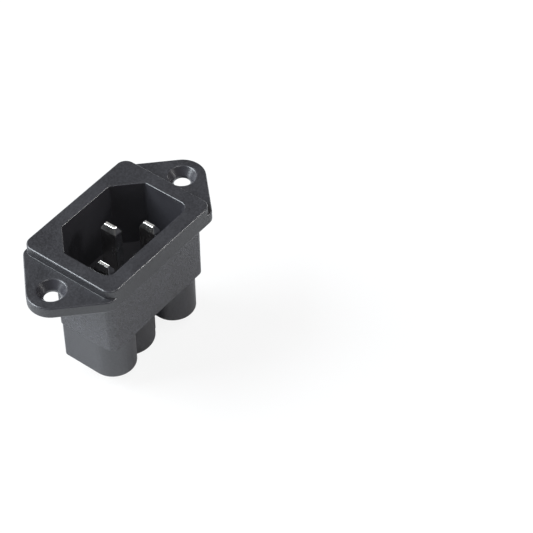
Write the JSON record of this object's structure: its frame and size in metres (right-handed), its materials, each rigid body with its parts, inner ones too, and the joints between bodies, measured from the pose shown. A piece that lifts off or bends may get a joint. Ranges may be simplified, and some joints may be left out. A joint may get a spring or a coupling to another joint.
{
  "type": "iec panel inlet",
  "caption": "Black flanged power inlet for a panel: bevelled connector recess with flat blades, countersunk ears, and screw terminal towers behind.",
  "frame": {"origin": "centre of the flange's rear face, midway between the two mounting holes, on the panel's front", "axes": "+X along the line of the mounting holes, +Y to the side with the clamp screws and the cut-off corners, +Z out of the inlet's face"},
  "size_m": [0.05, 0.023, 0.0326],
  "materials": {
    "housing_plastic": "black moulded thermoplastic, finely eroded texture",
    "plated_contact": "brass with bright nickel plate",
    "plated_screw": "steel with bright zinc plate"
  },
  "bodies": {
    "inlet": {"inlet_housing": "housing_plastic", "line_contact": "plated_contact", "neutral_contact": "plated_contact", "earth_contact": "plated_contact"},
    "line_plate": {"line_pressure_plate": "plated_screw"},
    "line_screw": {"line_screw": "plated_screw"},
    "neutral_plate": {"neutral_pressure_plate": "plated_screw"},
    "neutral_screw": {"neutral_screw": "plated_screw"},
    "earth_plate": {"earth_pressure_plate": "plated_screw"},
    "earth_screw": {"earth_screw": "plated_screw"}
  },
  "joints": [
    {"name": "line_plate_drive", "type": "slide", "parent": "inlet", "child": "line_plate", "axis": [0, 1, 0], "range_m": [-0.0022, 0.0012]},
    {"name": "line_screw_turn", "type": "hinge", "parent": "line_plate", "child": "line_screw", "pos_m": [-0.00962, 0, -0.0185], "axis": [0, 1, 0], "range_deg": [-1132, 618]},
    {"name": "neutral_plate_drive", "type": "slide", "parent": "inlet", "child": "neutral_plate", "axis": [0, 1, 0], "range_m": [-0.0022, 0.0012]},
    {"name": "neutral_screw_turn", "type": "hinge", "parent": "neutral_plate", "child": "neutral_screw", "pos_m": [0.00962, 0, -0.0185], "axis": [0, 1, 0], "range_deg": [-1132, 618]},
    {"name": "earth_plate_drive", "type": "slide", "parent": "inlet", "child": "earth_plate", "axis": [0, 1, 0], "range_m": [-0.0022, 0.0012]},
    {"name": "earth_screw_turn", "type": "hinge", "parent": "earth_plate", "child": "earth_screw", "pos_m": [0, 0, -0.0227], "axis": [0, 1, 0], "range_deg": [-1132, 618]}
  ],
  "couplings": [
    {"joint": "line_screw_turn", "follows": "line_plate_drive", "rad_per_m": 8976},
    {"joint": "neutral_screw_turn", "follows": "neutral_plate_drive", "rad_per_m": 8976},
    {"joint": "earth_screw_turn", "follows": "earth_plate_drive", "rad_per_m": 8976}
  ]
}
